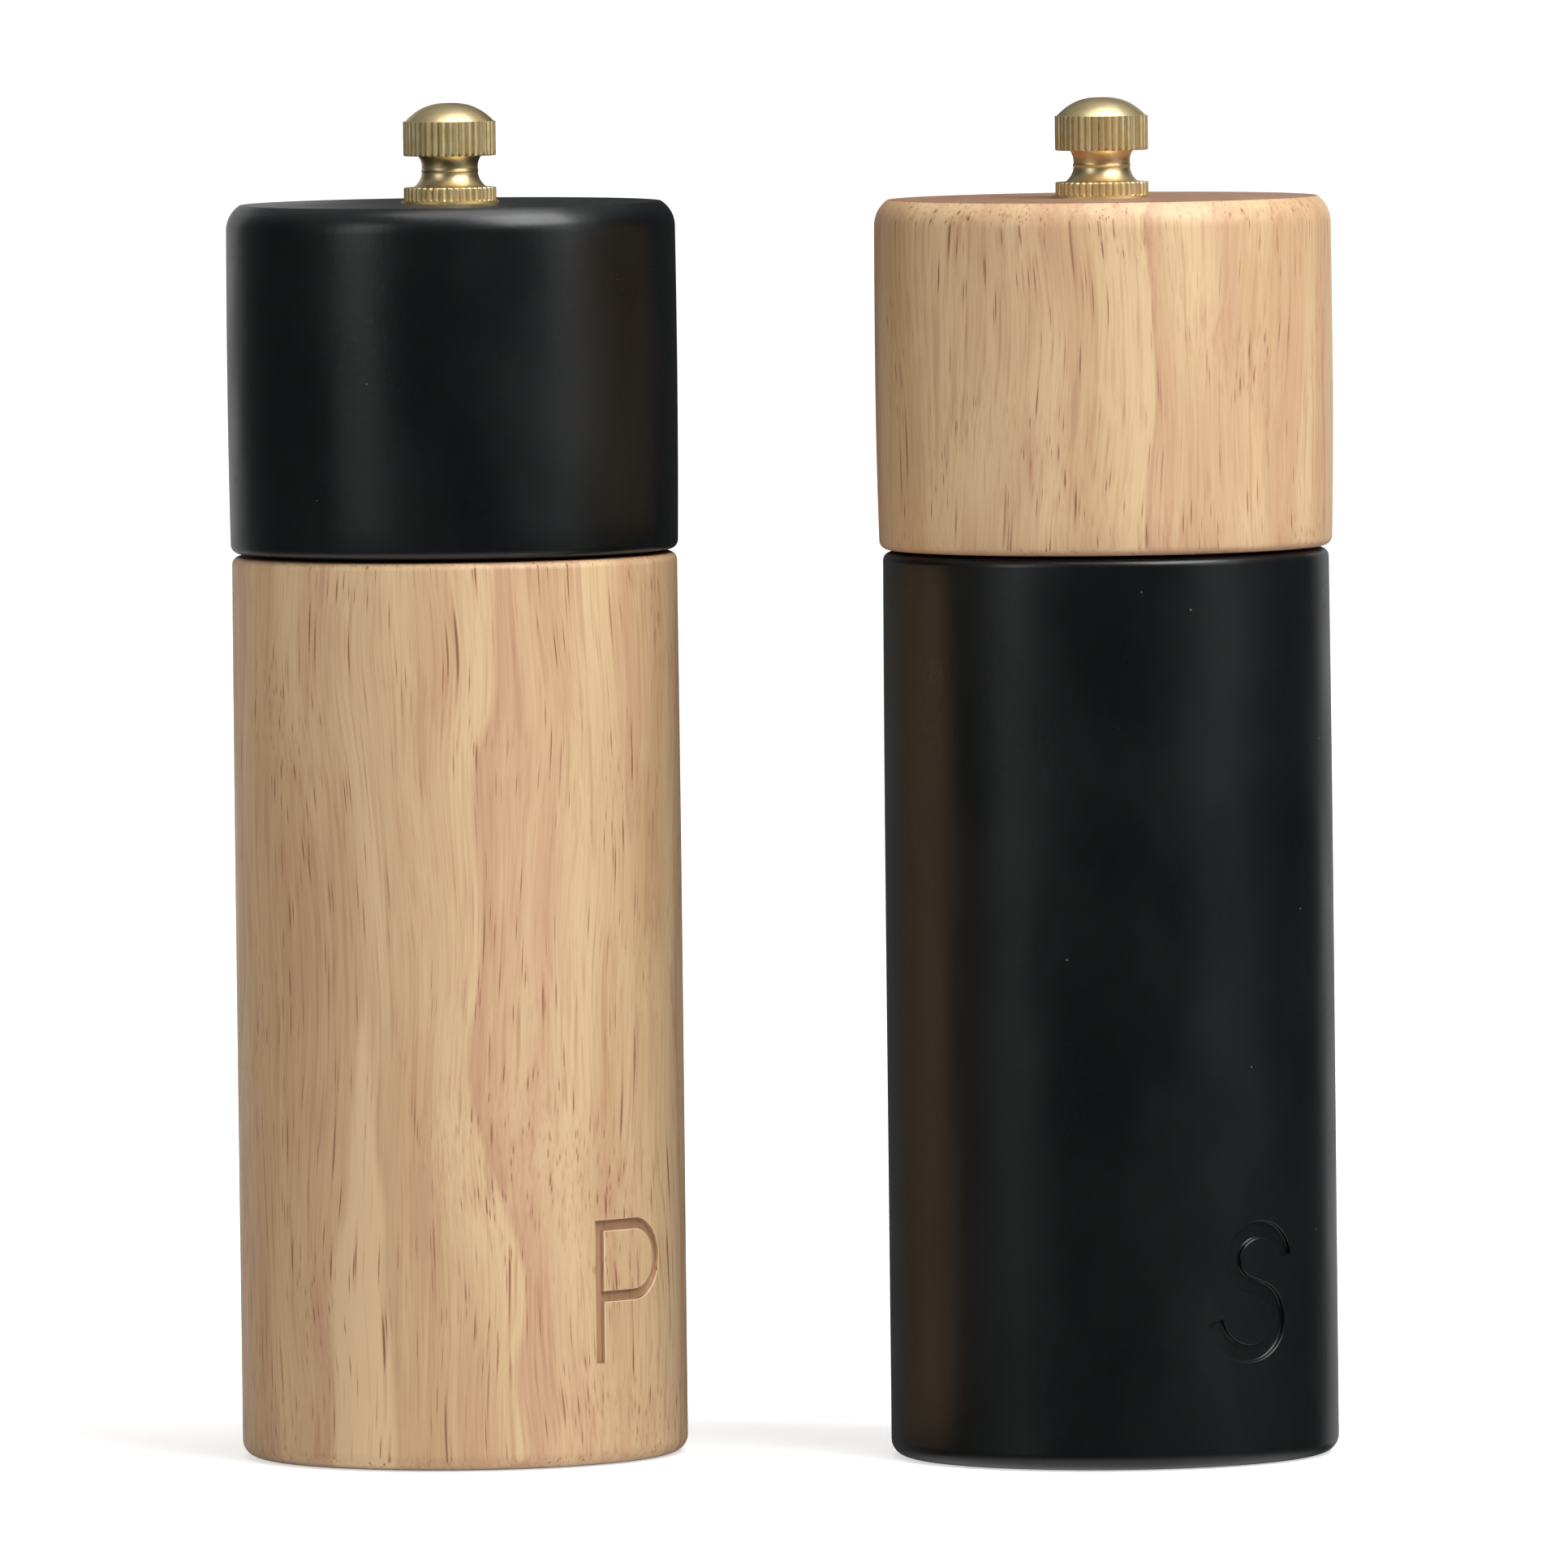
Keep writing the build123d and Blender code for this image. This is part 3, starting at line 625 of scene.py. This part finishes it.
def pale_rim(s, millimetres, out, clear_of_ends, surface_radius, colour):
    """Freshly broken fibres along the rounded edges of the cut letter."""
    radial = s.add("VectorMath", {0: s.scaled(millimetres, (1, 1, 0))}, operation="NORMALIZE").outputs[0]
    normal = s.add("TexCoord").outputs["Normal"]
    facing = s.add("VectorMath", {0: radial, 1: normal}, operation="DOT_PRODUCT").outputs["Value"]
    tilted = s.math("MULTIPLY", s.band(facing, 0.985, 0.93), s.band(facing, 0.30, 0.60))
    shallow = s.band(out, surface_radius - 0.24, surface_radius - 0.14)
    rim = s.math("MULTIPLY", s.math("MULTIPLY", tilted, shallow), clear_of_ends)
    return s.mix(s.math("MULTIPLY", rim, 0.85), colour, BROKEN_FIBRE)


FLAME_ANGLE, FLAME_TOP, FLAME_WIDTH = -28.0, 60.0, 9.0     # degrees from the front, mm, mm


def pale_flame(s, figure, colour):
    """A pale flame of sapwood that rises from the foot, left of the front, to a point."""
    parts = s.add("SeparateXYZ", {0: figure}).outputs
    angle = s.math("ARCTAN2", parts[0], s.math("MULTIPLY", parts[1], -1.0))
    off = s.math("SUBTRACT", angle, math.radians(FLAME_ANGLE))
    wander = s.noise(s.scaled(figure, (0.0, 0.0, 0.045)), 1.0, 1.0)
    off = s.math("ADD", off, s.math("MULTIPLY", s.math("SUBTRACT", wander, 0.5), 0.10))
    left = s.band(parts[2], 0.0, FLAME_TOP, 1.0, 0.0, smooth=False)
    half_turn = FLAME_WIDTH / 2 / (radius_of("pepper_body") / MM)
    half_width = s.math("MULTIPLY", s.math("POWER", left, 0.75), half_turn)
    inside = s.band(s.math("SUBTRACT", half_width, s.math("ABSOLUTE", off)), -0.010, 0.040)
    return s.mix(s.math("MULTIPLY", inside, 0.80), colour, tuple(1.06 * part for part in PALE))


# ---- Black lacquer ---------------------------------------------------------------

def black_lacquer(mill):
    """Satin black lacquer over turned wood: grain shows faintly, with fine scratches and dust."""
    s = Shader(f"{mill}_black_lacquer")
    centre = axis_of(mill)
    cloud = s.noise(s.place(centre, (0.08, 0.08, 0.05)), 1.0, 3.0)
    grain = s.noise(s.place(centre, (2.4, 2.4, 0.12)), 1.0, 3.0, 0.6)
    orange_peel = s.noise(s.place(centre, (1.3, 1.3, 1.3)), 1.0, 2.0)
    colour = s.mix(s.band(cloud, 0.3, 0.7), (0.0028, 0.0036, 0.0040), (0.0042, 0.0052, 0.0056))
    scratch = s.noise(s.place(centre, (1.6, 0.10, 1.6), (0, 32, 18)), 1.0, 3.0, 0.7)
    scratches = s.band(scratch, 0.60, 0.72)
    roughness = s.band(cloud, 0.3, 0.7, 0.27, 0.35)
    roughness = s.math("ADD", roughness, s.math("MULTIPLY", scratches, 0.06))
    dust = s.add("TexVoronoi", {"Vector": s.place(centre, (0.16, 0.16, 0.16)), "Scale": 1.0})
    specks = s.band(dust.outputs["Distance"], 0.030, 0.018)
    colour = s.mix(s.math("MULTIPLY", specks, 0.5), colour, (0.16, 0.17, 0.16))
    height = s.math("ADD", s.math("MULTIPLY", grain, 0.5), s.math("MULTIPLY", orange_peel, 0.6))
    normal = s.bump(height, 0.00003, 0.5)
    hand = s.noise(s.place(centre, (0.09, 0.09, 0.035)), 1.0, 1.0)
    normal = s.bump(hand, 0.0007, 0.35, normal)
    return s.finish(colour, roughness, normal)


# ---- Metals, plastics and ceramic -------------------------------------------------

def brass(name, mill):
    """Turned brass: fine tool rings, handling marks and warmer tarnish in patches."""
    s = Shader(f"{name}_brass", Metallic=1.0)
    centre = axis_of(mill)
    tarnish = s.noise(s.place(centre, (0.5, 0.5, 0.5)), 1.0, 4.0)
    fine = s.noise(s.place(centre, (0.6, 0.6, 14.0)), 1.0, 2.0)
    colour = s.mix(s.band(tarnish, 0.35, 0.7), (0.80, 0.66, 0.38), (0.70, 0.54, 0.27))
    roughness = s.band(s.math("ADD", tarnish, fine), 0.7, 1.4, 0.32, 0.44)
    upward = s.add("SeparateXYZ", {0: s.add("NewGeometry").outputs["Normal"]}).outputs[2]
    knurled = s.band(s.math("ABSOLUTE", upward), 0.12, 0.02)
    roughness = s.math("ADD", roughness, s.math("MULTIPLY", knurled, 0.14))
    smear = s.noise(s.place(centre, (3.0, 3.0, 3.0)), 1.0, 3.0)
    normal = s.bump(s.math("ADD", fine, s.math("MULTIPLY", smear, 0.6)), 0.00003, 0.35)
    return s.finish(colour, roughness, normal)


def plain_metal(name, mill, light, dark, rough, stretch):
    """Drawn, plated or fired metal: fine marks along one direction, and patchy colour."""
    s = Shader(f"{mill}_{name}", Metallic=1.0)
    centre = axis_of(mill)
    marks = s.noise(s.place(centre, stretch), 1.0, 4.0, 0.6)
    patch = s.noise(s.place(centre, (0.25, 0.25, 0.25)), 1.0, 3.0)
    colour = s.mix(s.band(patch, 0.35, 0.65), light, dark)
    roughness = s.band(marks, 0.3, 0.7, rough - 0.08, rough + 0.10)
    return s.finish(colour, roughness, s.bump(marks, 0.00002, 0.4))


def moulded(name, mill, light, dark, rough):
    """Moulded plastic or fired ceramic: a fine even grain and a slight cloudiness."""
    s = Shader(f"{mill}_{name}")
    centre = axis_of(mill)
    grain = s.noise(s.place(centre, (6.0, 6.0, 6.0)), 1.0, 2.0)
    cloud = s.noise(s.place(centre, (0.3, 0.3, 0.3)), 1.0, 3.0)
    colour = s.mix(s.band(cloud, 0.3, 0.7), light, dark)
    roughness = s.band(grain, 0.3, 0.7, rough - 0.06, rough + 0.08)
    return s.finish(colour, roughness, s.bump(grain, 0.00003, 0.3))


ALONG_SHAFT, ALL_WAYS = (6.0, 6.0, 0.15), (3.0, 3.0, 3.0)
METALS = {    # (lighter colour, darker colour, roughness, how the marks are stretched)
    "aluminium": ((0.80, 0.81, 0.82), (0.70, 0.71, 0.72), 0.34, ALONG_SHAFT),
    "zinc_steel": ((0.60, 0.61, 0.63), (0.50, 0.51, 0.54), 0.36, ALL_WAYS),
    "spring_steel": ((0.42, 0.42, 0.43), (0.32, 0.32, 0.33), 0.30, ALL_WAYS),
}
MOULDED = {    # (lighter colour, darker colour, roughness)
    "black_plastic": ((0.013, 0.013, 0.014), (0.020, 0.020, 0.021), 0.50),
    "white_plastic": ((0.74, 0.73, 0.69), (0.66, 0.65, 0.60), 0.42),
    "grinder_ceramic": ((0.70, 0.67, 0.60), (0.60, 0.57, 0.50), 0.58),
}


def carried_materials(mill):
    """Materials of the nodes that keep their CAD shape, by record slot."""
    made = {}
    for slot, (light, dark, rough, stretch) in METALS.items():
        made[slot] = plain_metal(slot, mill, light, dark, rough, stretch)
    for slot, (light, dark, rough) in MOULDED.items():
        made[slot] = moulded(slot, mill, light, dark, rough)
    made["brass"] = brass(f"{mill}_washer", mill)
    return made


def finish_carried_nodes(replaced):
    """Give every CAD node that still shows its material."""
    materials = {mill: carried_materials(mill) for mill in MILLS}
    for row in frame["record"]["subparts"]:
        node = row["node"]
        if node in replaced:
            continue
        mill = node.split("_")[0]
        mesh = frame["nodes"][node].data
        mesh.materials.clear()
        mesh.materials.append(materials[mill][row["material_slot"]])


# ---- Studio ----------------------------------------------------------------------

CAMERA_DISTANCE = 2.5
CAMERA_PITCH = 3.13            # degrees down
CAMERA_ROLL = -0.66
CAMERA_AIM = Vector((0.00005, 0.0, 0.0824))
CAMERA_LENS = 467.0


def camera():
    """A long lens, slightly above the mills."""
    data = bpy.data.cameras.new("camera")
    data.lens = CAMERA_LENS
    data.clip_start, data.clip_end = 0.1, 50
    made = bpy.data.objects.new("camera", data)
    bpy.context.scene.collection.objects.link(made)
    pitch = math.radians(CAMERA_PITCH)
    made.location = CAMERA_AIM + CAMERA_DISTANCE * Vector((0, -math.cos(pitch), math.sin(pitch)))
    upright = (CAMERA_AIM - made.location).to_track_quat("-Z", "Y").to_matrix()
    made.rotation_euler = (upright @ Matrix.Rotation(math.radians(CAMERA_ROLL), 3, "Z")).to_euler()
    bpy.context.scene.camera = made


MIDDLE = Vector((0, 0, 0.09))     # about half way up, between the mills


def softbox(name, azimuth, elevation, distance, size, power, aim=MIDDLE):
    """A rectangular light aimed at the mills; azimuth is round from the front, towards +X."""
    data = bpy.data.lights.new(name, "AREA")
    data.shape, (data.size, data.size_y) = "RECTANGLE", size
    data.energy = power
    made = bpy.data.objects.new(name, data)
    bpy.context.scene.collection.objects.link(made)
    around, up = math.radians(azimuth), math.radians(elevation)
    away = Vector((math.sin(around) * math.cos(up), -math.cos(around) * math.cos(up), math.sin(up)))
    made.location = aim + distance * away
    made.rotation_euler = (-away).to_track_quat("-Z", "Y").to_euler()
    return made


def edge_light(mill, azimuth):
    """A tall soft light behind one side of a mill, which lights that mill alone."""
    made = softbox(f"{mill}_edge", azimuth, 4, 0.5, (0.36, 0.50), 0.25, aim=axis_of(mill) + MIDDLE)
    lit = bpy.data.collections.new(f"{mill}_edge_receivers")
    for piece in bpy.context.scene.objects:
        if piece.name.startswith(mill) and piece.type == "MESH":
            lit.objects.link(piece)
    made.light_linking.receiver_collection = lit


def floor():
    """A pale paper floor that stays pale into the distance."""
    mesh = bpy.data.meshes.new("floor")
    reach = 30.0
    corners = [(-reach, -reach, 0), (reach, -reach, 0), (reach, reach, 0), (-reach, reach, 0)]
    mesh.from_pydata(corners, [], [(0, 1, 2, 3)])
    made = bpy.data.objects.new("floor", mesh)
    made.location.z = -0.0001
    made.visible_glossy = False
    bpy.context.scene.collection.objects.link(made)
    s = Shader("floor_paper", Roughness=0.9)
    s.surface.inputs["Base Color"].default_value = (0.80, 0.80, 0.80, 1)
    place = s.add("TexCoord").outputs["Object"]
    away = s.add("VectorMath", {0: place}, operation="LENGTH").outputs["Value"]
    glow = s.band(away, 0.10, 1.0, 0.58, 1.0)
    seen = s.add("LightPath").outputs["Is Camera Ray"]
    s.surface.inputs["Emission Color"].default_value = (1, 1, 1, 1)
    s.tree.links.new(s.math("MULTIPLY", glow, seen), s.surface.inputs["Emission Strength"])
    mesh.materials.append(s.material)


SURROUND = (    # (azimuth round from the front towards +X, brightness) near the horizon
    (-180, 0.06), (-162, 0.10), (-148, 0.14), (-132, 0.10), (-105, 0.06), (-75, 0.06),
    (-52, 0.14), (-40, 0.12), (-22, 0.06), (0, 0.03), (25, 0.05), (50, 0.13),
    (70, 0.16), (100, 0.06), (130, 0.04), (150, 0.04), (180, 0.05),
)
CEILING = 0.30
FLOOR_GLINT = 1.0              # what a downward-facing edge sees of the pale floor


def surround():
    """The room: dark at eye level, paler overhead and below; the camera sees it plain white."""
    world = bpy.data.worlds.new("surround")
    world.use_nodes = True
    s = Nodes(world.node_tree)
    direction = s.add("TexCoord").outputs["Generated"]
    parts = s.add("SeparateXYZ", {0: direction}).outputs
    azimuth = s.math("ARCTAN2", parts[0], s.math("MULTIPLY", parts[1], -1.0))
    share = s.math("ADD", s.math("MULTIPLY", azimuth, 0.5 / math.pi), 0.5)
    ramp = s.add("ValToRGB", {0: share})
    ramp.color_ramp.interpolation = "EASE"
    stops = ramp.color_ramp.elements
    while len(stops) > 1:
        stops.remove(stops[0])
    for index, (angle, brightness) in enumerate(SURROUND):
        stop = stops[0] if index == 0 else stops.new((angle + 180) / 360)
        stop.position = (angle + 180) / 360
        stop.color = (brightness * 0.97, brightness, brightness * 1.03, 1)
    overhead = s.band(parts[2], 0.35, 0.85)
    room = s.mix(overhead, ramp.outputs[0], (CEILING, CEILING, CEILING))
    below = s.band(parts[2], -0.35, -0.85)
    room = s.mix(below, room, (FLOOR_GLINT, FLOOR_GLINT, FLOOR_GLINT))
    seen = s.add("LightPath").outputs["Is Camera Ray"]
    backdrop = s.tree.nodes["Background"]
    s.tree.links.new(s.mix(seen, room, (1.0, 1.0, 1.0)), backdrop.inputs["Color"])
    backdrop.inputs["Strength"].default_value = 1.0
    bpy.context.scene.world = world


def studio():
    """Floor, room, a large soft light high on the right, and smaller ones overhead, beside and behind."""
    floor()
    surround()
    softbox("key", 49, 48, 1.2, (0.8, 0.8), 14.5)
    softbox("top", 30, 80, 0.9, (0.8, 0.5), 4.0)
    softbox("strip", 60, 14, 0.8, (0.30, 0.30), 0.4)
    softbox("fill", -48, 20, 1.5, (0.5, 0.9), 3.0)
    edge_light("pepper", -157)
    edge_light("salt", 157)


# ---- Everything together ----------------------------------------------------------

scene = bpy.context.scene
scene.view_settings.view_transform = "Standard"

replaced = set()
for seed, mill in enumerate(MILLS):
    turned_piece(mill, "body", body_profile)
    turned_piece(mill, "head", head_profile)
    knob(mill, seed)
    replaced |= {f"{mill}_body", f"{mill}_head", f"{mill}_knob"}
finish_carried_nodes(replaced)
studio()
camera()
